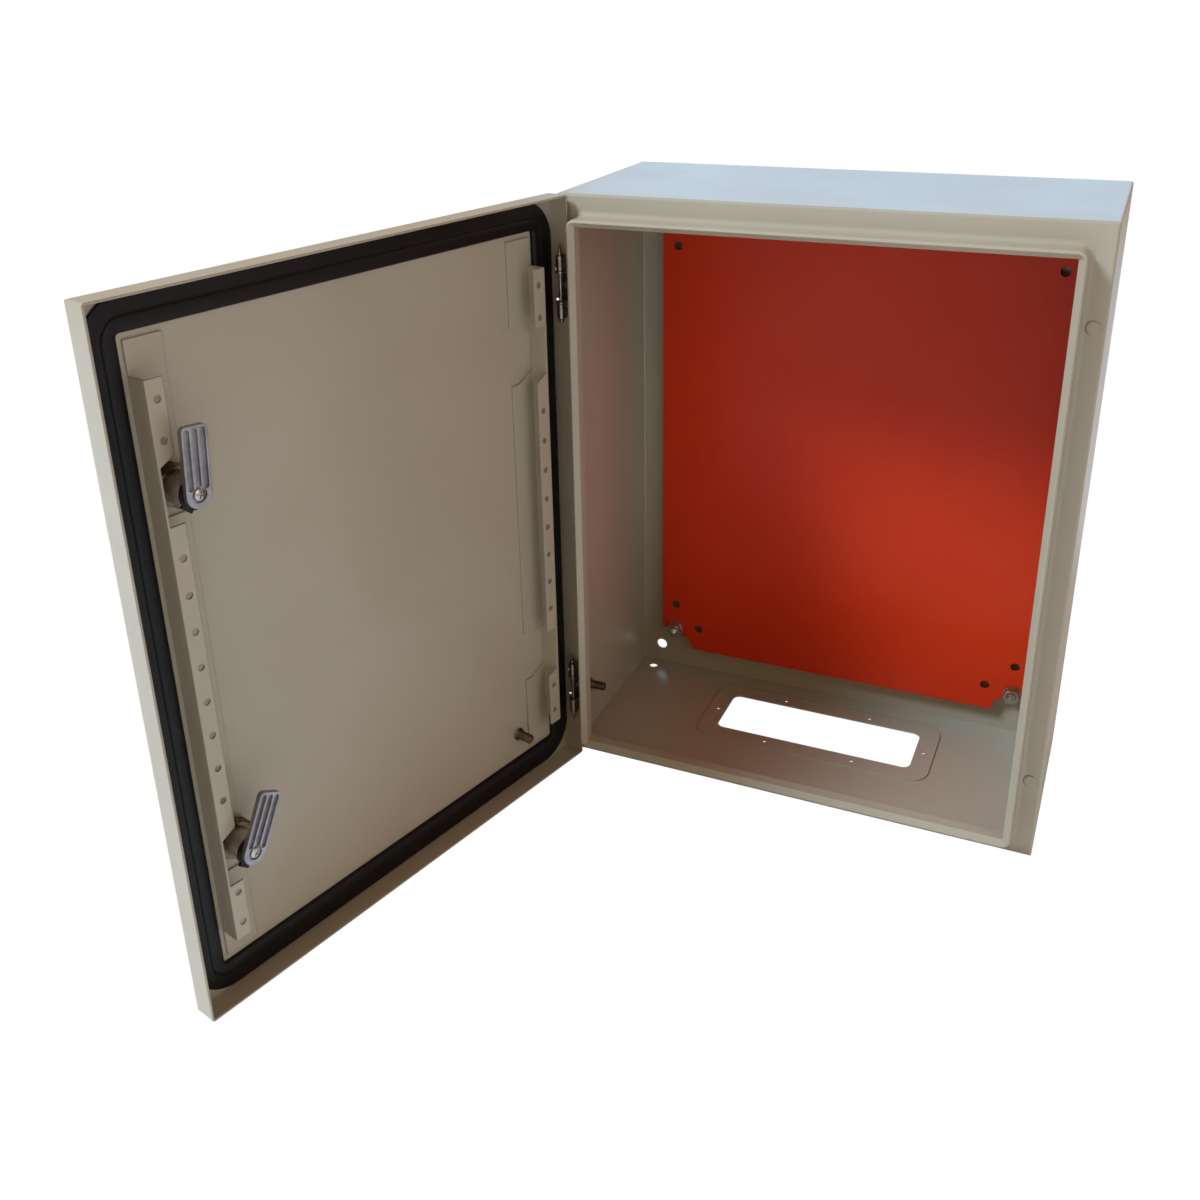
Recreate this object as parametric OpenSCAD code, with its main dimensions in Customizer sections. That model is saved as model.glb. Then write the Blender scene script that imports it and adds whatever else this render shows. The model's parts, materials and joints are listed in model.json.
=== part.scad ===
// Steel wall enclosure with a hinged door, two quarter-turn latches and a mounting plate.
// Origin: centre of the four wall-fixing holes on the rear face. +Z is up, the door faces -Y.

/* [Cabinet] */
// Overall width
cabinet_w = 400; // [360:10:600]
// Overall height
cabinet_h = 500; // [460:10:800]
// Depth of the folded body, rear face to front flange
body_d = 174.5; // [120:0.5:300]
// Sheet thickness of the body
sheet_t = 1.5; // [1.2:0.1:2]
// Radius of the vertical bends at the rear
rear_bend_r = 3; // [3:0.5:10]
// Radius of the other outer edges
edge_r = 2; // [1.6:0.1:2.5]

/* [Gutter rim] */
// Distance from the outer edge to the rim's outer wall
rim_inset = 16; // [16:0.5:22]
// Height of the rim in front of the flange
rim_h = 20; // [16:0.5:20.5]
// Radius of the bend at the rim's root
rim_root_r = 4; // [3:0.5:4]
// Radius of the rim at the four corners
rim_corner_r = 6.5; // [6.5:0.5:12]
// Width of the rim across its front
rim_w = 5.8; // [5:0.1:6.4]
// Drop of the slanted front of the rim
rim_slant = 4; // [1:0.5:4]
// Depth of the rim's inner return
rim_return = 9; // [4:0.5:10]

/* [Door] */
// Depth of the door pan with its returns
door_d = 18.5; // [18:0.5:24]
// Gap between the flange and the edge of the returns
door_gap = 7; // [6.5:0.5:8]
// Sheet thickness of the door
door_t = 1.5; // [1.2:0.1:2]
// Angle at which the door stands open
door_open = 104.5; // [0:0.5:118]

/* [Gasket] */
// Distance from the door's edge to the gasket's inner edge
gasket_inset = 25; // [24:0.5:28]
// Thickness of the flat part
gasket_t = 2; // [1:0.1:2.5]
// Width of the raised bead
bead_w = 11; // [8:0.5:12]
// Gap between the bead and the rim with the door closed
bead_gap = 0.4; // [0.3:0.1:1]
// Radius of the gasket's outer corners
gasket_corner_r = 31; // [10:1:34]
// Radius of the gasket's inner corners
gasket_in_r = 2; // [2:0.5:10]

/* [Door rails] */
// Distance from the door's edge to the rail's web
rail_inset = 28.5; // [28:0.5:31]
// Height of a rail above the door skin
rail_h = 16.5; // [14:0.5:21]
// Width of the flange on the skin
rail_base_w = 25; // [18:0.5:30]
// Width of the perforated flange
rail_top_w = 12; // [10:0.5:15]
// Sheet thickness of a rail
rail_t = 1.5; // [1:0.1:2]
// Pitch of the perforation
rail_pitch = 25; // [20:1:30]
// Diameter of the perforation
rail_hole_d = 4.8; // [3:0.1:6]
// Height of a notch beside a latch
notch_h = 46; // [40:1:50]
// Height of the slanted end of a notch
notch_slant = 8; // [2:0.5:10]

/* [Hinges] */
// Distance from the top or the bottom to a hinge
hinge_end = 70; // [60:1:90]
// Distance from the cabinet's side to the hinge axis
hinge_inset = 6.5; // [6.3:0.1:7]
// Distance from the flange to the hinge axis
hinge_fwd = 10.5; // [10.3:0.1:11.5]
// Diameter of the hinge pin
pin_d = 3; // [2.6:0.1:4]
// Outer diameter of a knuckle
knuckle_d = 6.4; // [5.8:0.1:7]
// Length of a knuckle
knuckle_l = 11.5; // [8:0.5:14]
// Distance between the outer faces of the bracket's ears
ear_span = 25.4; // [24:0.2:30]
// Thickness of an ear
ear_t = 1.5; // [1.2:0.1:2.4]
// Distance from the cabinet's side to the flange holes
flange_hole_inset = 8.5; // [8.3:0.1:8.7]
// Diameter of the flange holes
flange_hole_d = 5.6; // [5.2:0.1:6]
// Outer diameter of the plugs in the spare holes
plug_d = 10; // [8:0.5:10]

/* [Latches] */
// Distance from the top or the bottom to a latch
latch_end = 121; // [115:1:150]
// Distance from the door's free edge to a latch
latch_inset = 44.5; // [44:0.5:50]
// Angle of the upper tongue from locked
upper_turn = 94; // [0:1:120]
// Angle of the lower tongue from locked
lower_turn = 117; // [0:1:120]
// Diameter of the latch body
latch_d = 20; // [18:0.5:21]
// Diameter of the rotor
rotor_d = 12.9; // [10:0.1:14]
// Reach of the tongue from its axis
tongue_l = 42; // [36:0.5:42]
// Width of the tongue
tongue_w = 17.5; // [14:0.5:19]
// Thickness of the tongue
tongue_t = 3.8; // [3.4:0.2:7]
// Width of the nut across its flats
latch_nut_af = 26; // [24:0.5:27]

/* [Mounting plate] */
// Distance from the cabinet's outer edges to the plate
plate_margin = 25; // [25:1:40]
// Height of the plate's middle above the cabinet's
plate_up = 2.5; // [0:0.5:4]
// Thickness of the plate
plate_t = 2; // [1.5:0.1:3]
// Distance from the rear face to the front of the plate
plate_y = 12.5; // [10:0.5:20]
// Distance from the plate's side to a stud
stud_in_x = 14; // [12:0.5:20]
// Distance from the plate's top or bottom to a stud
stud_in_z = 20; // [18:0.5:24]
// Diameter of the studs
stud_d = 8; // [6:0.5:8]
// Diameter of the holes in the plate
plate_hole_d = 8; // [5:0.5:10]
// Height between a stud and the hole at the plate's side
side_hole_drop = 27; // [20:1:60]
// Distance between a stud and the hole at the plate's end, across and along
end_hole_off = [24, 3.5]; // [0:0.5:60]

/* [Fixings] */
// Distance from the cabinet's outer edges to the wall-fixing holes
wall_hole_in = 20; // [19:0.5:24]
// Diameter of the wall-fixing holes
wall_hole_d = 10.5; // [6:0.5:11]
// Diameter of the drain hole in the floor
drain_d = 8; // [5:0.5:10]
// Distance from the cabinet's side to the drain hole
drain_in = 16; // [12:0.5:40]
// Distance from the rear face to the drain hole
drain_back = 15; // [12:0.5:30]
// Diameter of the earth studs
earth_d = 8; // [5:0.5:8]
// Length of the earth studs
earth_l = 15; // [12:1:25]
// Height of the cabinet's earth stud above the bottom
earth_up = 46; // [30:1:80]
// Distance from the front flange to the cabinet's earth stud
earth_back = 36; // [15:1:60]
// Height of the door's earth stud above the bottom
door_earth_up = 47; // [40:1:80]
// Distance from the door's hinge edge to its earth stud
door_earth_in = 65.5; // [62:0.5:100]

/* [Gland opening] */
// Width of the opening in the floor
gland_w = 178; // [120:2:200]
// Depth of the opening in the floor
gland_d = 58; // [40:1:64]
// Distance from the rear face to the middle of the opening
gland_y = 68; // [60:1:80]
// Distance from the opening to the screw holes
gland_screw_edge = 7.5; // [6:0.5:9]
// Diameter of the screw holes
gland_screw_d = 3.6; // [3:0.1:5]
// Distance between the screw holes of a long side
gland_screw_span = 80; // [60:5:140]
// Distance from the opening to the edge of the raised field
gland_field = 17; // [14:0.5:20]
// Height of the raised field
gland_raise = 1.2; // [0.6:0.1:1.4]

/* [Hidden] */

$fn = 48;
tiny = 0.01;
clear = 0.05;               // radial running clearance
paint = "#A8A596";
zinc = "#9A9A9C";
steel = "#C4C4C2";
copper = "#8A5E45";

hinge_z = cabinet_h / 2 - hinge_end;
latch_z = cabinet_h / 2 - latch_end;
plate_w = cabinet_w - 2 * plate_margin;
plate_h = cabinet_h - 2 * plate_margin;
stud_x = plate_w / 2 - stud_in_x;
stud_z = plate_h / 2 - stud_in_z;
stud_reach = 10;            // of the plate studs, in front of the plate
washer_t = 1.6;

flange_y = -body_d;
returns_y = flange_y - door_gap;
skin_y = returns_y - door_d;               // outside of the door skin
skin_in_y = skin_y + door_t;               // inside of the door skin
hinge_x = -cabinet_w / 2 + hinge_inset;
hinge_y = flange_y - hinge_fwd;
latch_x = cabinet_w / 2 - latch_inset;
bead_h = door_gap + door_d - door_t - rim_h - bead_gap;
lip_inset = rim_inset + rim_w;             // inner edge of the rim
plate_back = plate_y - plate_t;
front_y = flange_y + edge_r;               // the front frame ends here
back_y = -rear_bend_r;                     // the rear wall begins here
mitre = lip_inset + 10;                    // reach of the cuts between the frame's sides

// ---------- shared shapes ----------

// Rectangle with round corners, centred
module round_rect(w, h, r) {
    square([w - 2 * r, h], center = true);
    square([w, h - 2 * r], center = true);
    for (x = [-1, 1], y = [-1, 1])
        translate([x * (w / 2 - r), y * (h / 2 - r)]) circle(r);
}

// Quarter of a ring, in the quadrant that dir names
module quarter_ring(r_out, r_in, dir) {
    intersection() {
        difference() {
            circle(r_out);
            circle(r_in);
        }
        translate([dir[0] > 0 ? 0 : -r_out, dir[1] > 0 ? 0 : -r_out])
            square(r_out);
    }
}

// Carries a profile round a rectangle: its x runs outwards from the corner centres, its y forwards
module frame_sweep(half_w, half_h) {
    for (side = [0, 180]) rotate([0, 0, side]) {
        translate([half_w, 0, 0]) rotate([90, 0, 0])
            linear_extrude(2 * half_h, center = true) children();
        translate([half_w, half_h, 0]) rotate_extrude(angle = 90) children();
        rotate([0, 0, 90]) {
            translate([half_h, 0, 0]) rotate([90, 0, 0])
                linear_extrude(2 * half_w, center = true) children();
            translate([half_h, half_w, 0]) rotate_extrude(angle = 90) children();
        }
    }
}

// Stands a shape drawn flat so that its Z points forwards, at distance y from the rear
module facing(y) {
    translate([0, y, 0]) rotate([90, 0, 0]) children();
}

// Box with its edges rounded along all three axes, front at y0 and back at y1
module soft_box(w, h, y0, y1, r, r_back) {
    d = y1 - y0;
    yc = (y0 + y1) / 2;
    intersection() {
        facing(y1) linear_extrude(d) round_rect(w, h, r);
        translate([0, yc, -h / 2]) linear_extrude(h) union() {
            square([w, d - 2 * r_back], center = true);
            square([w - 2 * r_back, d], center = true);
            for (x = [-1, 1]) {
                translate([x * (w / 2 - r_back), d / 2 - r_back]) circle(r_back);
                translate([x * (w / 2 - r), r - d / 2]) circle(r);
            }
            translate([0, (r - r_back) / 2])
                square([w, d - r - r_back], center = true);
            translate([0, -r_back / 2]) square([w - 2 * r, d - r_back], center = true);
        }
        translate([0, yc, 0]) rotate([90, 0, 90])
            linear_extrude(w, center = true) round_rect(d, h, r);
    }
}

// Places children at the four corners of a rectangle
module at_corners(x, z) {
    for (i = [-1, 1], k = [-1, 1]) translate([i * x, 0, k * z]) children();
}

// Places children at the four studs of the mounting plate
module at_studs() {
    translate([0, 0, plate_up]) at_corners(stud_x, stud_z) children();
}

// Swings children with the door
module on_door() {
    translate([hinge_x, hinge_y, 0]) rotate([0, 0, -door_open])
        translate([-hinge_x, -hinge_y, 0]) children();
}

// Puts children at a latch axis, with their Z pointing forwards from the flange
module at_latch(z) {
    on_door() translate([latch_x, flange_y, z]) rotate([90, 0, 0]) children();
}

// Turns a latch part, drawn locked with its tongue towards the free edge
module turned(angle) {
    rotate([0, 0, angle]) children();
}

// ---------- cabinet ----------

// Section of the rim: x is the distance from the cabinet's edge, y the height above the flange
module rim_section() {
    r = rim_root_r;
    nose = 2;
    back = rim_inset + sheet_t;
    translate([rim_inset - r, r]) quarter_ring(r + sheet_t, r, [1, -1]);
    translate([rim_inset, r]) square([sheet_t, rim_h - nose - r]);
    translate([rim_inset + nose, rim_h - nose])
        quarter_ring(nose, nose - sheet_t, [-1, 1]);
    polygon([
        [rim_inset + nose, rim_h], [lip_inset, rim_h - rim_slant],
        [lip_inset, rim_h - rim_slant - sheet_t], [rim_inset + nose, rim_h - sheet_t]
    ]);
    translate([lip_inset - sheet_t, rim_h - rim_slant - rim_return])
        square([sheet_t, rim_return]);
}

// Gutter rim all round the door opening
module rim() {
    centre = rim_inset + rim_corner_r;
    facing(flange_y) frame_sweep(cabinet_w / 2 - centre, cabinet_h / 2 - centre)
        translate([centre, 0]) mirror([1, 0]) rim_section();
}

// Raised field round the gland opening, so that a plate fits flush below
module gland_field_solid(grow, h) {
    translate([0, -gland_y, 0]) linear_extrude(h)
        round_rect(gland_w + 2 * (gland_field + grow), gland_d + 2 * (gland_field + grow),
            gland_field + grow);
}

// Screw holes round the gland opening: one at each end, two on each long side
module gland_screws(h) {
    for (x = [-1, 1]) {
        translate([x * (gland_w / 2 + gland_screw_edge), -gland_y, 0])
            cylinder(d = gland_screw_d, h = h, center = true);
        for (y = [-1, 1])
            translate([x * gland_screw_span / 2, -gland_y + y * (gland_d / 2 + gland_screw_edge), 0])
                cylinder(d = gland_screw_d, h = h, center = true);
    }
}

// Sheet box that the body's walls and the front flange are parts of
module sheet_box() {
    difference() {
        soft_box(cabinet_w, cabinet_h, flange_y, 0, edge_r, rear_bend_r);
        soft_box(cabinet_w - 2 * sheet_t, cabinet_h - 2 * sheet_t, flange_y + sheet_t, -sheet_t,
            edge_r - sheet_t, rear_bend_r - sheet_t);
    }
}

// Block between two depths, given by half its width and its lower and upper height
module slab(y0, y1, half_w, z0, z1) {
    translate([-half_w, y0, z0]) cube([2 * half_w, y1 - y0, z1 - z0]);
}

// One side of the front: flange and rim between two mitres, the top side turned to its place
module front_side(turn) {
    upright = abs(turn) == 90;
    d = (upright ? cabinet_w : cabinet_h) / 2;
    l = (upright ? cabinet_h : cabinet_w) / 2;
    opening = rim_inset - rim_root_r;
    color(paint) intersection() {
        union() {
            difference() {
                sheet_box();
                // door opening, up to the start of the rim's bend
                facing(flange_y + 2 * sheet_t) linear_extrude(4 * sheet_t)
                    round_rect(cabinet_w - 2 * opening, cabinet_h - 2 * opening,
                        rim_corner_r + rim_root_r);
                // hinge holes, the same on both sides so that the door can change hands
                translate([0, flange_y, 0])
                    at_corners(cabinet_w / 2 - flange_hole_inset, hinge_z) rotate([90, 0, 0])
                        cylinder(d = flange_hole_d, h = 4 * sheet_t, center = true);
            }
            rim();
        }
        facing(front_y) rotate([0, 0, turn]) linear_extrude(3 * rim_h) polygon([
            [-l - 5, d + 5], [l + 5, d + 5], [l - mitre, d - mitre], [mitre - l, d - mitre]
        ]);
    }
}

module front_top() {
    front_side(0);
}

module front_bottom() {
    front_side(180);
}

module front_left() {
    front_side(90);
}

module front_right() {
    front_side(-90);
}

// Side wall with its bent edges
module side_wall(dir) {
    color(paint) intersection() {
        sheet_box();
        translate([dir * cabinet_w / 2, 0, 0])
            slab(front_y, back_y, edge_r, -cabinet_h, cabinet_h);
    }
}

module left_wall() {
    side_wall(-1);
}

module right_wall() {
    side_wall(1);
}

// Rear wall with its bent edges and the four wall-fixing holes
module rear_wall() {
    color(paint) difference() {
        intersection() {
            sheet_box();
            slab(back_y, 1, cabinet_w, -cabinet_h, cabinet_h);
        }
        at_corners(cabinet_w / 2 - wall_hole_in, cabinet_h / 2 - wall_hole_in) rotate([90, 0, 0])
            cylinder(d = wall_hole_d, h = 4 * sheet_t, center = true);
    }
}

module roof() {
    color(paint) slab(front_y, back_y, cabinet_w / 2 - edge_r, cabinet_h / 2 - sheet_t,
        cabinet_h / 2);
}

// Floor with the gland opening, its raised field, the screw holes and the drain hole
module cabinet_floor() {
    color(paint) difference() {
        union() {
            slab(front_y, back_y, cabinet_w / 2 - edge_r, -cabinet_h / 2,
                sheet_t - cabinet_h / 2);
            translate([0, 0, -cabinet_h / 2]) gland_field_solid(0, sheet_t + gland_raise);
        }
        translate([0, 0, -cabinet_h / 2]) {
            translate([0, 0, -tiny]) gland_field_solid(-sheet_t, gland_raise + tiny);
            translate([0, -gland_y, -tiny]) linear_extrude(4 * sheet_t)
                round_rect(gland_w, gland_d, 7);
            gland_screws(12 * sheet_t);
            translate([-cabinet_w / 2 + drain_in, -drain_back, 0])
                cylinder(d = drain_d, h = 4 * sheet_t, center = true);
        }
    }
}

// Plate outline at one corner: the cut runs past the stud and steps to the edge
module corner_cut() {
    x = plate_w / 2;
    z = plate_h / 2;
    polygon([
        [x + 1, z - 20.5], [x - 26, z - 11.5], [x - 28.5, z - 9],
        [x - 30, z - 2.5], [x - 33, z + 1], [x + 1, z + 1]
    ]);
    translate([stud_x - plate_slot() / 2, stud_z]) square([plate_slot(), z - stud_z]);
    translate([stud_x, stud_z]) circle(d = plate_slot());
}

function plate_slot() = stud_d + 0.8;

module mounting_plate() {
    color("#C8381C") translate([0, 0, plate_up]) facing(-plate_back)
        linear_extrude(plate_t) difference() {
            square([plate_w, plate_h], center = true);
            for (i = [0, 1], k = [0, 1]) mirror([i, 0]) mirror([0, k]) {
                corner_cut();
                translate([stud_x, stud_z - side_hole_drop]) circle(d = plate_hole_d);
                translate([stud_x, stud_z] - end_hole_off) circle(d = plate_hole_d);
            }
        }
}

module plate_studs() {
    color(steel) at_studs() facing(-sheet_t) {
        cylinder(d = stud_d + 5, h = 1);
        cylinder(d = stud_d, h = plate_y + stud_reach);
        translate([0, 0, plate_y + stud_reach])
            cylinder(d1 = stud_d, d2 = stud_d - 1.6, h = 0.8);
    }
}

module plate_spacers() {
    color(steel) at_studs() facing(-sheet_t - 1) difference() {
        cylinder(d = stud_d + 6, h = plate_back - sheet_t - 1);
        translate([0, 0, -1]) cylinder(d = stud_d + 2 * clear, h = plate_back);
    }
}

module plate_washers() {
    color(steel) at_studs() facing(-plate_y) difference() {
        cylinder(d = 2 * stud_d, h = washer_t);
        translate([0, 0, -1]) cylinder(d = stud_d + 2 * clear, h = washer_t + 2);
    }
}

// Hexagon nut with chamfered corners
module hex_nut(af, h, bore) {
    corner = af / 2 / cos(30);
    drop = (corner - af / 2) * 0.6;
    intersection() {
        difference() {
            cylinder(r = corner, h = h, $fn = 6);
            translate([0, 0, -1]) cylinder(d = bore, h = h + 2);
        }
        rotate_extrude() polygon([
            [0, 0], [af / 2 - 0.2, 0], [corner + 0.2, drop], [corner + 0.2, h - drop],
            [af / 2 - 0.2, h], [0, h]
        ]);
    }
}

module plate_nuts() {
    color(steel) at_studs() facing(-plate_y - washer_t)
        hex_nut(1.625 * stud_d, 0.8 * stud_d, stud_d + 2 * clear);
}

// Earth stud with a weld flange and a point chamfer, standing on Z
module earth_stud() {
    cylinder(d = earth_d + 3, h = 1.2);
    cylinder(d = earth_d, h = earth_l - 1);
    translate([0, 0, earth_l - 1]) cylinder(d1 = earth_d, d2 = earth_d - 2, h = 1);
}

module cabinet_earth_stud() {
    color(copper)
        translate([-cabinet_w / 2 + sheet_t, flange_y + earth_back, -cabinet_h / 2 + earth_up])
            rotate([0, 90, 0]) earth_stud();
}

module flange_plugs() {
    root_x = rim_inset - rim_root_r - flange_hole_inset;
    color(paint) for (z = [-1, 1])
        translate([cabinet_w / 2 - flange_hole_inset, flange_y, z * hinge_z])
            rotate([90, 0, 0]) {
                // head, relieved where it runs on to the bend of the rim
                difference() {
                    union() {
                        cylinder(d = plug_d, h = 0.3);
                        translate([0, 0, 0.3]) cylinder(d1 = plug_d, d2 = plug_d - 1.6, h = 0.5);
                    }
                    translate([-root_x, 0, rim_root_r]) rotate([90, 0, 0]) difference() {
                        translate([-plug_d, -rim_root_r - 1, -plug_d])
                            cube([plug_d, rim_root_r + 1, 2 * plug_d]);
                        cylinder(r = rim_root_r - clear, h = 3 * plug_d, center = true);
                    }
                }
                translate([0, 0, -sheet_t])
                    cylinder(d = flange_hole_d - 2 * clear, h = sheet_t);
                translate([0, 0, -sheet_t - 1.5])
                    cylinder(d1 = flange_hole_d - 1, d2 = flange_hole_d - 2 * clear, h = 1.5);
            }
}

// ---------- hinges ----------

boss_h = 3.6;               // threaded collar of the bracket's foot
hinge_screw_d = 5;
hinge_head_d = 9.5;

// Bracket on the flange: a foot, a threaded collar and two ears that hold the pin
module hinge_bracket(z) {
    ear_w = knuckle_d + 1;
    foot_in = rim_inset - rim_root_r;
    color(zinc) translate([-cabinet_w / 2, flange_y, z]) rotate([90, 0, 0])
        difference() {
            union() {
                translate([hinge_inset - ear_w / 2, -ear_span / 2, 0])
                    cube([foot_in - hinge_inset + ear_w / 2, ear_span, ear_t]);
                translate([flange_hole_inset, 0, 0])
                    cylinder(r = foot_in - flange_hole_inset, h = boss_h);
                for (s = [-1, 1]) translate([0, s * (ear_span - ear_t) / 2, 0]) rotate([90, 0, 0])
                    linear_extrude(ear_t, center = true) {
                        translate([hinge_inset - ear_w / 2, 0]) square([ear_w, hinge_fwd]);
                        translate([hinge_inset, hinge_fwd]) circle(d = ear_w);
                    }
            }
            translate([flange_hole_inset, 0, -1])
                cylinder(d = hinge_screw_d + 2 * clear, h = boss_h + 2);
            translate([hinge_inset, 0, hinge_fwd]) rotate([90, 0, 0])
                cylinder(d = pin_d + 2 * clear, h = 2 * ear_span, center = true);
        }
}

module upper_hinge_bracket() {
    hinge_bracket(hinge_z);
}

module lower_hinge_bracket() {
    hinge_bracket(-hinge_z);
}

// Pan-head screws through the flange into the brackets, driven from inside
module hinge_screws() {
    color(steel) for (z = [-1, 1])
        translate([-cabinet_w / 2 + flange_hole_inset, flange_y + sheet_t, z * hinge_z])
            rotate([90, 0, 0]) {
                cylinder(d = hinge_screw_d, h = sheet_t + boss_h + 0.4);
                difference() {
                    translate([0, 0, -2.6]) intersection() {
                        cylinder(d = hinge_head_d, h = 2.6);
                        translate([0, 0, 5.4]) sphere(6.4);
                    }
                    translate([0, 0, -2]) cube([5, 1, 2.4], center = true);
                    translate([0, 0, -2]) cube([1, 5, 2.4], center = true);
                }
            }
}

// Hinge pin with a pointed end away from the middle and a ball end towards it
module hinge_pin(dir) {
    top = ear_span / 2 + knuckle_l;
    color(steel) translate([hinge_x, hinge_y, dir * hinge_z])
        mirror([0, 0, dir > 0 ? 0 : 1]) {
            translate([0, 0, -top - 1]) cylinder(d = pin_d, h = 2 * top + 3.5);
            translate([0, 0, top + 2.5]) cylinder(d1 = pin_d, d2 = pin_d * 0.75, h = 3);
            translate([0, 0, top + 5.5]) cylinder(d1 = pin_d * 0.75, d2 = 0.8, h = 4);
            translate([0, 0, -top - 2.2]) sphere(d = pin_d + 1);
        }
}

module upper_hinge_pin() {
    hinge_pin(1);
}

module lower_hinge_pin() {
    hinge_pin(-1);
}

// Two knuckles welded to the inside of the door's return, above and below the bracket
module hinge_knuckles(z) {
    gap = 0.4;
    wall_x = -cabinet_w / 2 + door_t;
    color(steel) on_door() for (s = [-1, 1])
        translate([hinge_x, hinge_y, z + s * (ear_span / 2 + gap + knuckle_l / 2)])
            difference() {
                union() {
                    cylinder(d = knuckle_d, h = knuckle_l, center = true);
                    translate([wall_x - hinge_x, -knuckle_d / 2, -knuckle_l / 2])
                        cube([hinge_x - wall_x, knuckle_d - 0.8, knuckle_l]);
                }
                cylinder(d = pin_d + 2 * clear, h = knuckle_l + 2, center = true);
            }
}

module upper_hinge_knuckles() {
    hinge_knuckles(hinge_z);
}

module lower_hinge_knuckles() {
    hinge_knuckles(-hinge_z);
}

// ---------- door ----------

module door_pan() {
    notch_d = hinge_fwd + 3;
    color(paint) on_door() difference() {
        soft_box(cabinet_w, cabinet_h, skin_y, returns_y + 2 * edge_r, edge_r, edge_r);
        translate([0, returns_y + edge_r * 2, 0]) rotate([90, 0, 0])
            linear_extrude(door_d - door_t + 2 * edge_r)
                round_rect(cabinet_w - 2 * door_t, cabinet_h - 2 * door_t, edge_r - door_t);
        // edge of the returns
        translate([-cabinet_w, returns_y, -cabinet_h]) cube([2 * cabinet_w, 50, 2 * cabinet_h]);
        // notches that let the hinge brackets through
        for (z = [-1, 1]) translate([-cabinet_w / 2, returns_y, z * hinge_z])
            cube([4 * door_t, 2 * notch_d, ear_span + 0.8], center = true);
        // latch holes
        for (z = [-1, 1]) translate([latch_x, skin_y, z * latch_z]) rotate([90, 0, 0])
            cylinder(d = latch_d + 2 * clear, h = 6 * door_t, center = true);
    }
}

// Foamed gasket: a flat band with a raised bead that meets the rim
module door_gasket() {
    bead_in = gasket_inset - bead_w;
    centre = gasket_inset + gasket_in_r;
    color("#1A191B") on_door() facing(skin_in_y) mirror([0, 0, 1]) {
        linear_extrude(gasket_t) difference() {
            round_rect(cabinet_w - 2 * door_t - 1, cabinet_h - 2 * door_t - 1, gasket_corner_r);
            round_rect(cabinet_w - 2 * gasket_inset, cabinet_h - 2 * gasket_inset, gasket_in_r);
        }
        frame_sweep(cabinet_w / 2 - centre, cabinet_h / 2 - centre)
            translate([centre - gasket_inset + bead_w / 2, 0]) bead_section();
    }
}

// Flat-bottomed bead with round shoulders
module bead_section() {
    intersection() {
        round_rect(bead_w, 2 * bead_h, min(bead_h, bead_w / 2) - 0.5);
        translate([-bead_w / 2, 0]) square([bead_w, bead_h]);
    }
}

rail_l = cabinet_h - 2 * gasket_inset - 50;
rail_base_l = cabinet_h - 2 * gasket_inset - 8;

// Channel rail, drawn flat on the skin: x from the web towards the door's middle, y up, z off the skin
module rail() {
    notch_y = latch_z + 3;
    holes = floor(rail_l / rail_pitch);
    difference() {
        union() {
            // flange on the skin
            translate([0, -rail_base_l / 2, 0]) cube([rail_base_w, rail_base_l, rail_t]);
            // web
            translate([0, -rail_l / 2, 0]) cube([rail_t, rail_l, rail_h]);
            // perforated flange
            translate([0, -rail_l / 2, rail_h - rail_t]) cube([rail_top_w, rail_l, rail_t]);
        }
        // notches beside the latches, slanted at one end
        for (s = [-1, 1]) translate([0, s * notch_y, -1]) linear_extrude(rail_h + 2)
            polygon([
                [rail_t, -notch_h / 2], [rail_base_w + 1, -notch_h / 2],
                [rail_base_w + 1, notch_h / 2],
                [rail_top_w + 5, notch_h / 2], [rail_t, notch_h / 2 - notch_slant]
            ]);
        // perforation, left out in the notches
        for (i = [0 : holes - 1]) {
            y = (i - (holes - 1) / 2) * rail_pitch;
            if (abs(abs(y) - notch_y) > (notch_h + rail_hole_d) / 2)
                translate([(rail_top_w + rail_t) / 2, y, rail_h])
                    cylinder(d = rail_hole_d, h = 4 * rail_t, center = true);
        }
    }
}

module lock_side_rail() {
    color(paint) on_door() translate([cabinet_w / 2 - rail_inset, skin_in_y, 0])
        rotate([0, 180, 0]) rotate([-90, 0, 0]) rail();
}

module hinge_side_rail() {
    color(paint) on_door() translate([rail_inset - cabinet_w / 2, skin_in_y, 0])
        rotate([-90, 0, 0]) rail();
}

module door_earth_stud() {
    color(copper) on_door()
        translate([door_earth_in - cabinet_w / 2, skin_in_y, door_earth_up - cabinet_h / 2])
            rotate([-90, 0, 0]) earth_stud();
}

// ---------- latches ----------

skin_z = door_gap + door_d;                // outside of the skin, measured from the flange
skin_in_z = skin_z - door_t;
tongue_z = -sheet_t - 0.5;                 // front face of the tongue, just behind the flange
stop_t = 2;
nut_h = 9;
seal_t = 0.8;
collar_h = 4;

// Housing: collar outside, body through the skin with a stepped inner end
module latch_housing(z) {
    color(zinc) at_latch(z) difference() {
        union() {
            translate([0, 0, skin_z + seal_t]) cylinder(d = latch_d + 9, h = collar_h - 1);
            translate([0, 0, skin_z + seal_t + collar_h - 1])
                cylinder(d1 = latch_d + 9, d2 = latch_d + 7, h = 1);
            translate([0, 0, tongue_z + stop_t + 0.3])
                cylinder(d = latch_d, h = skin_z + seal_t - tongue_z - stop_t - 0.3);
        }
        translate([0, 0, tongue_z])
            cylinder(d = rotor_d + 2 * clear, h = key_z - tongue_z + 1);
    }
}

module upper_latch_housing() {
    latch_housing(latch_z);
}

module lower_latch_housing() {
    latch_housing(-latch_z);
}

// Flat seal between the collar and the skin
module latch_seal(z) {
    color("#1A191B") at_latch(z) translate([0, 0, skin_z]) difference() {
        cylinder(d = latch_d + 7, h = seal_t);
        translate([0, 0, -1]) cylinder(d = latch_d + 2 * clear, h = seal_t + 2);
    }
}

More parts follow.
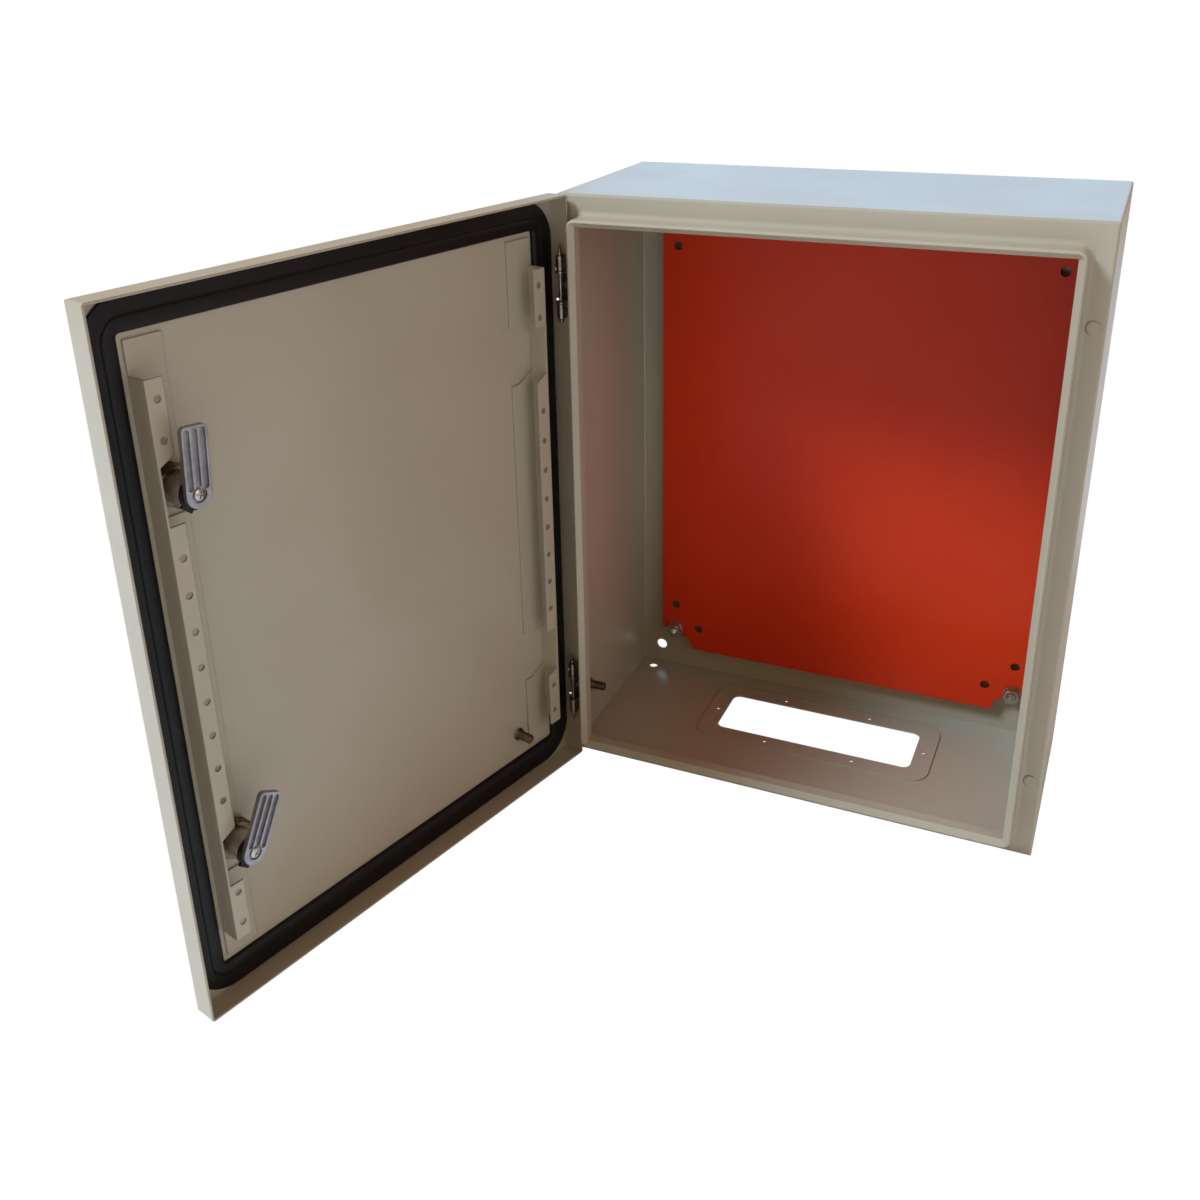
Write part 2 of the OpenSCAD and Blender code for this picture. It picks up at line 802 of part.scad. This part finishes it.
module upper_latch_seal() {
    latch_seal(latch_z);
}

module lower_latch_seal() {
    latch_seal(-latch_z);
}

module latch_nut(z) {
    color("#6E6253") at_latch(z) translate([0, 0, skin_in_z - nut_h]) rotate([0, 0, 30])
        hex_nut(latch_nut_af, nut_h, latch_d + 2 * clear);
}

module upper_latch_nut() {
    latch_nut(latch_z);
}

module lower_latch_nut() {
    latch_nut(-latch_z);
}

// Stop plate on the inner end of the housing: a disc with a lug
module stop_plate(z) {
    color("#2E2C2B") at_latch(z) translate([0, 0, tongue_z + 0.3])
        difference() {
            linear_extrude(stop_t) {
                circle(d = latch_d + 1);
                rotate(40) translate([-4, -latch_d / 2 - 2]) square([8, latch_d / 4]);
            }
            translate([0, 0, -1]) cylinder(d = rotor_d + 2 * clear, h = stop_t + 2);
        }
}

module upper_stop_plate() {
    stop_plate(latch_z);
}

module lower_stop_plate() {
    stop_plate(-latch_z);
}

key_z = skin_z + seal_t + collar_h;
square_w = 5.6;
tongue_screw_d = 4;
recess_t = 1.6;             // recess for the head of the tongue's screw

// Rotor: a shaft with a double-bit key socket outside and a square end for the tongue
module latch_rotor(z, angle) {
    socket_h = 9;
    color(zinc) at_latch(z) turned(angle) difference() {
        union() {
            translate([0, 0, tongue_z + clear])
                cylinder(d = rotor_d, h = key_z - 0.6 - tongue_z - clear);
            translate([-square_w / 2, -square_w / 2, tongue_z - tongue_t + recess_t + 0.2])
                cube([square_w, square_w, tongue_t]);
        }
        translate([0, 0, key_z - socket_h]) difference() {
            cylinder(d = rotor_d - 3, h = socket_h + 1);
            translate([0, 0, -1]) cylinder(d = 3.5, h = socket_h + 0.4);
            translate([-rotor_d / 2, -1.2, -1]) cube([rotor_d, 2.4, socket_h - 0.6]);
        }
        translate([0, 0, tongue_z - tongue_t])
            cylinder(d = tongue_screw_d + 2 * clear, h = 12);
    }
}

module upper_latch_rotor() {
    latch_rotor(latch_z, upper_turn);
}

module lower_latch_rotor() {
    latch_rotor(-latch_z, lower_turn);
}

// Tongue outline, pointing along x from its axis
module tongue_outline() {
    r = 3;
    circle(d = tongue_w);
    translate([0, -tongue_w / 2]) square([tongue_l - r, tongue_w]);
    translate([0, -tongue_w / 2 + r]) square([tongue_l, tongue_w - 2 * r]);
    for (s = [-1, 1]) translate([tongue_l - r, s * (tongue_w / 2 - r)]) circle(r);
}

// Die-cast tongue: a border and two ribs stand between three long grooves
module tongue(z, angle) {
    groove_n = 3;
    border = 1.7;
    groove_w = 3.4;
    groove_start = 4.6;
    pitch = (tongue_w - 2 * border - groove_w) / (groove_n - 1);
    color(zinc) at_latch(z) turned(angle) translate([0, 0, tongue_z - tongue_t])
        difference() {
            linear_extrude(tongue_t) tongue_outline();
            // grooves on the inner face
            for (i = [0 : groove_n - 1])
                translate([groove_start, (i - (groove_n - 1) / 2) * pitch, -1])
                    linear_extrude(3.2) {
                        translate([0, -groove_w / 2])
                            square([tongue_l - groove_start - border - groove_w / 2, groove_w]);
                        circle(d = groove_w);
                        translate([tongue_l - groove_start - border - groove_w / 2, 0])
                            circle(d = groove_w);
                    }
            // recess for the screw head and the square hole for the rotor
            translate([0, 0, -1]) cylinder(d = 10, h = 1 + recess_t);
            cube([square_w + 2 * clear, square_w + 2 * clear, 4 * tongue_t], center = true);
        }
}

module upper_tongue() {
    tongue(latch_z, upper_turn);
}

module lower_tongue() {
    tongue(-latch_z, lower_turn);
}

// Round-head screw that holds the tongue on the rotor
module tongue_screw(z, angle) {
    head_z = tongue_z - tongue_t + recess_t;
    head_t = 2.6;
    color(steel) at_latch(z) turned(angle + 20) difference() {
        union() {
            translate([0, 0, head_z]) cylinder(d = tongue_screw_d, h = 9);
            translate([0, 0, head_z - head_t]) intersection() {
                cylinder(d = 7.4, h = head_t);
                translate([0, 0, 6.9]) sphere(7);
            }
        }
        translate([0, 0, head_z - head_t]) cube([4.4, 0.9, 2.8], center = true);
        translate([0, 0, head_z - head_t]) cube([0.9, 4.4, 2.8], center = true);
    }
}

module upper_tongue_screw() {
    tongue_screw(latch_z, upper_turn);
}

module lower_tongue_screw() {
    tongue_screw(-latch_z, lower_turn);
}

rear_wall();
left_wall();
right_wall();
roof();
cabinet_floor();
front_left();
front_right();
front_top();
front_bottom();
mounting_plate();
plate_studs();
plate_spacers();
plate_washers();
plate_nuts();
cabinet_earth_stud();
flange_plugs();
upper_hinge_bracket();
lower_hinge_bracket();
upper_hinge_pin();
lower_hinge_pin();
hinge_screws();
door_pan();
door_gasket();
lock_side_rail();
hinge_side_rail();
door_earth_stud();
upper_hinge_knuckles();
lower_hinge_knuckles();
upper_latch_housing();
lower_latch_housing();
upper_latch_seal();
lower_latch_seal();
upper_latch_nut();
lower_latch_nut();
upper_stop_plate();
lower_stop_plate();
upper_latch_rotor();
lower_latch_rotor();
upper_tongue();
lower_tongue();
upper_tongue_screw();
lower_tongue_screw();
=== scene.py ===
import bpy
import json
import numpy as np
from math import radians, pi
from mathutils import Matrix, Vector


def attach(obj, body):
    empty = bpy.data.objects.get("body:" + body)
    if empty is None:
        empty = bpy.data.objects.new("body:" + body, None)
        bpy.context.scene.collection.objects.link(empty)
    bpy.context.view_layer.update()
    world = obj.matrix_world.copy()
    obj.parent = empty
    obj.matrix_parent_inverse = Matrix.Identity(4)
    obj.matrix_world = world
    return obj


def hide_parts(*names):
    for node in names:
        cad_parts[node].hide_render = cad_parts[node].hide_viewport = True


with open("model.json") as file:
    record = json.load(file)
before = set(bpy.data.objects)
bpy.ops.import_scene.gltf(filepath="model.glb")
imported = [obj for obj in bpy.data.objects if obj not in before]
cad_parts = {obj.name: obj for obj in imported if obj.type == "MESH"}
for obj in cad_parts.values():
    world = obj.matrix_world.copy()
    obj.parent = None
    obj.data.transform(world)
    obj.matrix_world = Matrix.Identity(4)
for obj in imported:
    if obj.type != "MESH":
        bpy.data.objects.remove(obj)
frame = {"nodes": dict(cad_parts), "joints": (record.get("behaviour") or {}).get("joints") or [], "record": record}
nodes = frame["nodes"]
joints = {j["name"]: j for j in frame["joints"]}
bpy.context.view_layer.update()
print("frame loaded:", len(nodes), "nodes")

camera = dict(place=(0.2210, -1.0381, 0.4051), turn=(67.186, 1.307, 24.431),
              focal=37.22, sensor=36.0, shiftX=0.0119, shiftY=-0.0891, near=0.01, far=100.0)
stage = dict(floorZ=-0.2506, reach=30, tone=0.93, floorGlow=1.0, floorMirror=0.05,
             ambient=(0.42, 0.27, 0.16))
lamps = dict(
    key=dict(place=(-1.62, -1.92, 2.45), aim=(0.1, -0.1, 0.0), size=(0.8, 0.8), power=125,
             tint=(0.66, 0.82, 1.0), mirrored=False),
    right=dict(place=(2.0, -1.2, 0.9), aim=(-0.2, -0.4, 0.0), size=(1.2, 1.2), power=8.4,
               tint=(0.66, 0.84, 1.0), mirrored=True),
    back=dict(place=(0.2, 2.3, 1.0), aim=(0.0, 0.0, 0.2), size=(3.4, 1.1), power=18,
              tint=(0.27, 0.61, 1.0), mirrored=True))


def gridFaces(rows, cols, closeRows, closeCols):
    # quads between neighbours of a rows x cols grid of points; a closed side joins its last line to its first
    r = np.arange(rows if closeRows else rows - 1)
    c = np.arange(cols if closeCols else cols - 1)
    r, c = np.meshgrid(r, c, indexing="ij")
    r2, c2 = (r + 1) % rows, (c + 1) % cols
    return np.stack([r * cols + c, r * cols + c2, r2 * cols + c2, r2 * cols + c], -1).reshape(-1, 4)


def meshPiece(name, points, faces, smooth=True):
    mesh = bpy.data.meshes.new(name)
    mesh.from_pydata(points.reshape(-1, 3).tolist(), [], [list(f) for f in faces])
    mesh.polygons.foreach_set("use_smooth", np.full(len(mesh.polygons), smooth))
    mesh.validate()
    mesh.update()
    piece = bpy.data.objects.new(name, mesh)
    bpy.context.scene.collection.objects.link(piece)
    return piece


hingeX, hingeY = joints["door_hinge"]["pos_m"][:2]
openAngle = radians(-104.5)


def onDoor(points):
    # closed-door places turned about the hinge line by the angle at which the door stands open
    x, y = points[..., 0] - hingeX, points[..., 1] - hingeY
    c, s = np.cos(openAngle), np.sin(openAngle)
    return np.stack([hingeX + x * c - y * s, hingeY + x * s + y * c, points[..., 2]], -1)


# outer and inner are distances from the door's edge; waver is a share of the height, and each of waves
# is (turns round the door, phase, share); domePower and domeRoot flatten the bead's top and steepen its sides
gasket = dict(doorW=0.400, doorH=0.500, skinY=-0.1985, outer=0.0021, inner=0.0249,
              outerRound=0.031, innerRound=0.0022, band=0.0019, bead=0.0036,
              beadFrom=0.0140, beadTo=0.0249, beadSteps=25, domePower=3.2, domeRoot=2.6,
              flatMargin=0.0012, beadMargin=0.0004, flatSteps=7, lip=((0.0, 0.0), (0.0001, 0.6), (0.0005, 0.9)),
              waver=0.03, waves=((17, 0.0, 0.5), (41, 1.3, 0.3), (97, 0.4, 0.2)),
              straightSteps=90, cornerSteps=14)


def roundedPath(inset, radius):
    # a rectangle with round corners, inset from the door's edge: side by side, each a straight run
    # and a quarter turn
    g = gasket
    hw, hh = g["doorW"] / 2 - inset, g["doorH"] / 2 - inset
    n, k = g["straightSteps"], g["cornerSteps"]
    t = np.linspace(0, 1, n, endpoint=False)
    a = np.linspace(0, pi / 2, k, endpoint=False)
    parts = []
    for turn, (w, h) in enumerate([(hw, hh), (hh, hw), (hw, hh), (hh, hw)]):
        run = np.stack([np.full(n, w), (2 * t - 1) * (h - radius)], -1)
        arc = np.stack([w - radius + radius * np.cos(a), h - radius + radius * np.sin(a)], -1)
        both = np.concatenate([run, arc])
        c, s = np.cos(turn * pi / 2), np.sin(turn * pi / 2)
        parts.append(np.stack([both[:, 0] * c - both[:, 1] * s, both[:, 0] * s + both[:, 1] * c], -1))
    return np.concatenate(parts)


def makeGasket():
    # the seal's section (distance from the door's edge, height) carried round the door; the foam's
    # height wavers a little with the distance run, as three sines of different lengths
    g = gasket
    beadMid, beadHalf = (g["beadFrom"] + g["beadTo"]) / 2, (g["beadTo"] - g["beadFrom"]) / 2
    u = np.linspace(-1, 1, g["beadSteps"])
    dome = g["bead"] * (1 - np.abs(u) ** g["domePower"]) ** (1 / g["domeRoot"])
    beadPart = np.stack([beadMid + beadHalf * u, dome], -1)
    beadPart = beadPart[(beadPart[:, 1] > g["band"]) | (u > 0)]
    beadPart[-1, 1] = 0.0
    flat = np.stack([np.linspace(g["outer"] + g["flatMargin"], beadPart[0, 0] - g["beadMargin"], g["flatSteps"]),
                     np.full(g["flatSteps"], g["band"])], -1)
    edge = np.array([[g["outer"] + inward, g["band"] * share] for inward, share in g["lip"]])
    section = np.concatenate([edge, flat, beadPart])
    radii = np.interp(section[:, 0], [g["outer"], g["inner"]], [g["outerRound"], g["innerRound"]])
    paths = np.stack([roundedPath(a, r) for a, r in zip(section[:, 0], radii)], 1)
    s = np.linspace(0, 2 * pi, len(paths), endpoint=False)[:, None]
    wave = sum(share * np.sin(turns * s + phase) for turns, phase, share in g["waves"])
    h = section[None, :, 1] * (1 - g["waver"] * (1 + wave))
    pts = np.stack([paths[..., 0], g["skinY"] + h, paths[..., 1]], -1)
    faces = gridFaces(len(paths), len(section), True, True)
    return meshPiece("doorGasket", onDoor(pts), faces[:, ::-1])


# crestAt is the share of the half pitch where the crest begins, flank the share over which the side falls
thread = dict(pitch=0.00125, depth=0.00068, around=32, perTurn=8, radius=0.004, chamfer=0.0010,
              crestAt=0.82, flank=0.64)
plateStuds = dict(x=(-0.161, 0.161), y=-0.0015, z=(-0.205, 0.205), raised=0.0025,
                  length=0.0233, foot=(0.0065, 0.001))
cabinetEarth = dict(start=(-0.1985, -0.1385, -0.204), length=0.015, foot=(0.0055, 0.0012))
doorEarth = dict(start=(-0.1345, -0.1985, -0.203), tip=(-0.1345, -0.1885, -0.203), length=0.015,
                 foot=(0.0055, 0.0012))


def makeThreads(name, starts, along, length, foot):
    # studs: the radius falls and rises once per pitch while the phase runs round with the angle,
    # a foot of the given radius and height stands at the start and the tip is chamfered
    d = thread
    rows = int(length / d["pitch"] * d["perTurn"])
    z = np.linspace(0, length, rows)[:, None]
    a = np.linspace(0, 2 * pi, d["around"], endpoint=False)[None, :]
    phase = (z / d["pitch"] - a / (2 * pi)) % 1.0
    groove = 1 - np.abs(2 * phase - 1)
    r = d["radius"] - d["depth"] * np.clip((d["crestAt"] - groove) / d["flank"], 0, 1)
    r = np.minimum(r, d["radius"] - d["chamfer"] + (length - z))
    r = np.where(z < foot[1], foot[0], r)
    along = Vector(along).normalized()
    side = along.orthogonal().normalized()
    x, y, w = np.array(side), np.array(along.cross(side)), np.array(along)
    one = z[..., None] * w + r[..., None] * (np.cos(a)[..., None] * x + np.sin(a)[..., None] * y)
    count, k = rows * d["around"], d["around"]
    grid = gridFaces(rows, k, False, True)
    pts, faces = [], []
    for i, start in enumerate(starts):
        pts.append(one.reshape(-1, 3) + np.array(start))
        faces += [list(f) for f in grid + i * count]
        faces.append([i * count + j for j in range(k)][::-1])
        faces.append([(i + 1) * count - k + j for j in range(k)])
    return meshPiece(name, np.concatenate(pts), faces)


notchWeb = dict(x=(-0.1997, -0.1985), y=(-0.1951, -0.1904), height=0.0216, hinges=(-0.180, 0.180))


def makeNotchWebs():
    # the strip of the return that closes the deep end of each hinge notch: a plain box, once at each hinge
    d = notchWeb
    x, y, z = np.meshgrid(d["x"], d["y"], np.array([-0.5, 0.5]) * d["height"], indexing="ij")
    corners = np.stack([x, y, z], -1).reshape(-1, 3)
    box = np.array([[0, 1, 3, 2], [4, 6, 7, 5], [0, 4, 5, 1], [2, 3, 7, 6], [0, 2, 6, 4], [1, 5, 7, 3]])
    pts = np.concatenate([corners + (0, 0, z) for z in d["hinges"]])
    return meshPiece("notchWebs", onDoor(pts), np.concatenate([box, box + len(corners)]), False)


class Wire:
    # a socket that adds Math nodes when it is used in an expression
    def __init__(self, paint, socket):
        self.paint, self.socket = paint, socket

    def maths(self, operation, first, second):
        return self.paint.add("ShaderNodeMath", dict(operation=operation), {0: first, 1: second}).out()

    def __add__(self, other): return self.maths("ADD", self, other)
    def __radd__(self, other): return self.maths("ADD", other, self)
    def __sub__(self, other): return self.maths("SUBTRACT", self, other)
    def __rsub__(self, other): return self.maths("SUBTRACT", other, self)
    def __mul__(self, other): return self.maths("MULTIPLY", self, other)
    def __rmul__(self, other): return self.maths("MULTIPLY", other, self)


class Step:
    # one node, and its outputs by name or number
    def __init__(self, paint, node):
        self.paint, self.node = paint, node

    def out(self, which=0):
        return Wire(self.paint, self.node.outputs[which])


class Paint:
    # a material or a world while its nodes are being laid
    def __init__(self, owner):
        owner.use_nodes = True
        self.owner, self.tree = owner, owner.node_tree
        self.tree.nodes.clear()

    def add(self, kind, settings=None, values=None):
        node = self.tree.nodes.new(kind)
        for name, value in (settings or {}).items():
            setattr(node, name, value)
        for name, value in (values or {}).items():
            socket = node.inputs[name]
            if isinstance(value, Wire):
                self.tree.links.new(value.socket, socket)
            else:
                socket.default_value = value
        return Step(self, node)

    def noise(self, scale, detail, roughness):
        place = self.add("ShaderNodeTexCoord").out("Object")
        return self.add("ShaderNodeTexNoise", None, {"Vector": place, "Scale": scale, "Detail": detail,
                                                     "Roughness": roughness}).out("Fac")

    def ramp(self, fac, low, high):
        return self.add("ShaderNodeMapRange", None, {"Value": fac, "From Min": low, "From Max": high}).out()

    def blend(self, fac, first, second):
        return self.add("ShaderNodeMix", dict(data_type="RGBA"), {0: fac, 6: first, 7: second}).out(2)

    def most(self, first, second):
        return self.add("ShaderNodeMath", dict(operation="MAXIMUM"), {0: first, 1: second}).out()

    def bevel(self, radius):
        return self.add("ShaderNodeBevel", dict(samples=6), {"Radius": radius}).out()

    def bump(self, height, distance, strength=1.0, normal=None):
        values = {"Height": height, "Distance": distance, "Strength": strength}
        if normal is not None:
            values["Normal"] = normal
        return self.add("ShaderNodeBump", None, values).out()

    def finish(self, values):
        shader = self.add("ShaderNodeBsdfPrincipled", None, values)
        self.add("ShaderNodeOutputMaterial", None, {"Surface": shader.out()})
        return self.owner


def newPaint(name):
    return Paint(bpy.data.materials.new(name))


def colour(r, g, b):
    # the linear values of a colour given as 0-255 screen values
    c = np.array([r, g, b]) / 255
    c = np.where(c <= 0.04045, c / 12.92, ((c + 0.055) / 1.055) ** 2.4)
    return (*[float(v) for v in c], 1.0)


# each noise is (scale, detail, roughness); a Range cuts it to its low and high end; Tint and Rough are
# the shares by which it moves the colour and the roughness
powderCoat = dict(peel=(420.0, 1.5, 0.45), peelDepth=0.00006, waves=(60.0, 1.0, 0.4), waveDepth=0.00012,
                  cloud=(9.0, 3.0, 0.55), cloudRange=(0.35, 0.70), cloudTint=0.55, cloudRough=0.07,
                  specks=(700.0, 2.0, 0.6), speckRange=(0.66, 0.74), speckTint=0.15, speckRough=0.10,
                  coatRough=0.12)
metalSkin = dict(patchShare=0.12, patch=(3.0, 0.6), patchRange=(0.35, 0.65), patchRough=0.10,
                 fine=(2.0, 0.55), fineRough=0.06, strength=0.6)
foamSkin = dict(pore=(3.0, 0.6), poreRange=(0.30, 0.60), poreTint=0.2, rub=(35.0, 4.0, 0.6),
                rubRange=(0.50, 0.75), rubTint=0.5, rubRough=0.10, strength=0.8, shine=0.28)


def makePowderCoat(name, main, dusty, gloss, coat, shine, softEdge):
    # sprayed powder: a fine peel over long waves, a slightly uneven tone, and a little settled dust;
    # softEdge None leaves the edges as they are, for sheets whose bends are modelled and whose seams are ground
    p = newPaint(name)
    d = powderCoat
    peel, waves = p.noise(*d["peel"]), p.noise(*d["waves"])
    cloud = p.ramp(p.noise(*d["cloud"]), *d["cloudRange"])
    specks = p.ramp(p.noise(*d["specks"]), *d["speckRange"])
    base = p.blend(cloud * d["cloudTint"] + specks * d["speckTint"], main, dusty)
    height = peel * d["peelDepth"] + waves * d["waveDepth"]
    normal = p.bump(height, 1.0, 1.0, p.bevel(softEdge) if softEdge else None)
    rough = gloss + cloud * d["cloudRough"] + specks * d["speckRough"]
    return p.finish({"Base Color": base, "Roughness": rough, "Normal": normal, "Coat Weight": coat,
                     "Coat Roughness": d["coatRough"], "Specular IOR Level": shine})


def makeMetal(name, main, worn, roughness, grain, grainDepth, softEdge, metal=1.0):
    # metal: tone and polish vary in patches, with a fine grain
    p = newPaint(name)
    d = metalSkin
    patch = p.ramp(p.noise(grain * d["patchShare"], *d["patch"]), *d["patchRange"])
    fine = p.noise(grain, *d["fine"])
    base = p.blend(patch, main, worn)
    normal = p.bump(fine, grainDepth, d["strength"], p.bevel(softEdge))
    rough = roughness + patch * d["patchRough"] + fine * d["fineRough"]
    return p.finish({"Base Color": base, "Metallic": metal, "Roughness": rough, "Normal": normal})


def makeFoam(name, main, worn, pores, depth, roughness):
    # foamed rubber: a skin with fine pores and paler rubbed places
    p = newPaint(name)
    d = foamSkin
    pore = p.ramp(p.noise(pores, *d["pore"]), *d["poreRange"])
    rub = p.ramp(p.noise(*d["rub"]), *d["rubRange"])
    base = p.blend(rub * d["rubTint"] + pore * d["poreTint"], main, worn)
    normal = p.bump(pore, depth, d["strength"])
    return p.finish({"Base Color": base, "Roughness": roughness - rub * d["rubRough"], "Normal": normal,
                     "Specular IOR Level": d["shine"]})


greyTones = (colour(174, 168, 148), colour(166, 159, 138))
orangeTones = (colour(210, 56, 20), colour(200, 50, 18))
greyCoat = makePowderCoat("greyPowderCoat", *greyTones, 0.30, 0.30, 0.5, 0.0012)
seamlessCoat = makePowderCoat("greySeamlessCoat", *greyTones, 0.30, 0.30, 0.5, None)
orangeCoat = makePowderCoat("orangePowderCoat", *orangeTones, 0.30, 0.06, 0.14, 0.0009)
brightSteel = makeMetal("platedSteel", colour(205, 204, 200), colour(178, 176, 170),
                        0.20, 900.0, 0.00002, 0.0003)
darkSteel = makeMetal("darkSteel", colour(58, 54, 50), colour(40, 37, 35), 0.32, 700.0, 0.00003, 0.0004)
darkChrome = makeMetal("darkChrome", colour(205, 200, 194), colour(150, 144, 138),
                       0.12, 300.0, 0.00002, 0.0005, 0.65)
castZinc = makeMetal("castZinc", colour(170, 170, 174), colour(150, 150, 154), 0.36, 800.0, 0.00004, 0.0007)
nutSteel = makeMetal("darkPlatedNut", colour(120, 108, 86), colour(84, 74, 60), 0.20, 500.0, 0.00003, 0.0005)
# a darker copy of the plated steel for the hinge parts: painted shade, standing in for the shade the hinge sits in
hingeSteelPaintedShade = makeMetal("hingeSteelPaintedShade", colour(160, 152, 146), colour(120, 112, 106),
                       0.24, 700.0, 0.00003, 0.0003)
copperSteel = makeMetal("copperedSteel", colour(134, 122, 104), colour(98, 86, 73),
                        0.28, 800.0, 0.00003, 0.0003)
foam = makeFoam("sealFoam", colour(9, 8, 9), colour(15, 14, 14), 900.0, 0.00006, 0.42)
print("materials made")

finishes = dict(grey_powder_coat=greyCoat, orange_powder_coat=orangeCoat, bright_steel=brightSteel,
                dark_steel=darkSteel, die_cast_zinc=castZinc, latch_nut_steel=nutSteel,
                coppered_steel=copperSteel, gasket_foam=foam, seal_rubber=foam)
ownFinishes = dict(upper_latch_housing=darkChrome, lower_latch_housing=darkChrome)
# the hinges' brackets, knuckles and pins take the darker steel copy, which is painted shade
for name in ("bracket", "knuckles", "pin"):
    ownFinishes["upper_hinge_" + name] = ownFinishes["lower_hinge_" + name] = hingeSteelPaintedShade
for name in ("rear_wall", "left_wall", "right_wall", "roof",
             "front_left", "front_right", "front_top", "front_bottom"):
    ownFinishes[name] = seamlessCoat
for part in frame["record"]["subparts"]:
    for slot in nodes[part["node"]].material_slots:
        slot.link = "OBJECT"
        slot.material = ownFinishes.get(part["node"], finishes[part["material_slot"]])
print("finishes put on the frame")


def place(piece, material, body, slotName, *stands):
    piece.data.materials.append(material)
    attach(piece, body)
    if stands:
        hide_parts(*stands)


place(makeGasket(), foam, "door", "gasket_foam", "door_gasket")
print("gasket made")

place(makeNotchWebs(), greyCoat, "door", "grey_powder_coat")
print("notch webs made")

studPlaces = [(x, plateStuds["y"], plateStuds["raised"] + z) for x in plateStuds["x"] for z in plateStuds["z"]]
place(makeThreads("plateStudThreads", studPlaces, (0, -1, 0), plateStuds["length"], plateStuds["foot"]),
      brightSteel, "cabinet", "bright_steel", "plate_studs")
place(makeThreads("cabinetEarthThread", [cabinetEarth["start"]], (1, 0, 0), cabinetEarth["length"],
                  cabinetEarth["foot"]), copperSteel, "cabinet", "coppered_steel", "cabinet_earth_stud")
doorStudPlace = onDoor(np.array(doorEarth["start"]))
doorStudAlong = onDoor(np.array(doorEarth["tip"])) - doorStudPlace
place(makeThreads("doorEarthThread", [doorStudPlace], doorStudAlong, doorEarth["length"], doorEarth["foot"]),
      copperSteel, "door", "coppered_steel", "door_earth_stud")
print("threads made")


def makeFloor():
    # a very large pale floor that reads white to the camera and to reflections, and keeps the shadow
    across = stage["reach"]
    pts = np.array([[-across, -across, 0], [across, -across, 0], [across, across, 0], [-across, across, 0]], float)
    pts[:, 2] = stage["floorZ"]
    piece = meshPiece("paleFloor", pts, [[0, 1, 2, 3]], False)
    p = newPaint("paleFloorTone")
    rays = p.add("ShaderNodeLightPath")
    seen = p.most(rays.out("Is Camera Ray") * stage["floorGlow"], rays.out("Is Glossy Ray") * stage["floorMirror"])
    tone = (stage["tone"],) * 3 + (1.0,)
    matt = p.add("ShaderNodeBsdfDiffuse", None, {"Color": tone}).out()
    glow = p.add("ShaderNodeEmission", None, {"Color": (1, 1, 1, 1), "Strength": 1.0}).out()
    mixed = p.add("ShaderNodeMixShader", None, {0: seen, 1: matt, 2: glow}).out()
    p.add("ShaderNodeOutputMaterial", None, {"Surface": mixed})
    piece.data.materials.append(p.owner)


def makeWorld():
    # white to the camera, a dim warm tone to everything else
    world = bpy.data.worlds.new("paleWorld")
    bpy.context.scene.world = world
    p = Paint(world)
    rays = p.add("ShaderNodeLightPath")
    seen = p.most(rays.out("Is Camera Ray"), rays.out("Is Transmission Ray"))
    dim = p.add("ShaderNodeBackground", None, {"Color": (*stage["ambient"], 1.0), "Strength": 1.0}).out()
    white = p.add("ShaderNodeBackground", None, {"Color": (1, 1, 1, 1), "Strength": 1.0}).out()
    mixed = p.add("ShaderNodeMixShader", None, {0: seen, 1: dim, 2: white}).out()
    p.add("ShaderNodeOutputWorld", None, {"Surface": mixed})


def makeLamp(name, d):
    lamp = bpy.data.lights.new(name, "AREA")
    lamp.shape, lamp.size, lamp.size_y = "RECTANGLE", d["size"][0], d["size"][1]
    lamp.energy, lamp.color = d["power"], d["tint"]
    holder = bpy.data.objects.new(name, lamp)
    holder.location = d["place"]
    holder.visible_camera = False
    holder.visible_glossy = d["mirrored"]
    holder.rotation_euler = (Vector(d["aim"]) - Vector(d["place"])).to_track_quat("-Z", "Y").to_euler()
    bpy.context.scene.collection.objects.link(holder)


makeFloor()
makeWorld()
for lampName, values in lamps.items():
    makeLamp(lampName + "Lamp", values)

lens = bpy.data.cameras.new("viewer")
lens.lens, lens.sensor_width, lens.sensor_fit = camera["focal"], camera["sensor"], "HORIZONTAL"
lens.shift_x, lens.shift_y = camera["shiftX"], camera["shiftY"]
lens.clip_start, lens.clip_end = camera["near"], camera["far"]
viewer = bpy.data.objects.new("viewer", lens)
viewer.location = camera["place"]
viewer.rotation_euler = [radians(a) for a in camera["turn"]]
bpy.context.scene.collection.objects.link(viewer)
bpy.context.scene.camera = viewer
bpy.context.scene.view_settings.view_transform = "Standard"
print("stage, lamps and camera set")

bpy.context.view_layer.update()
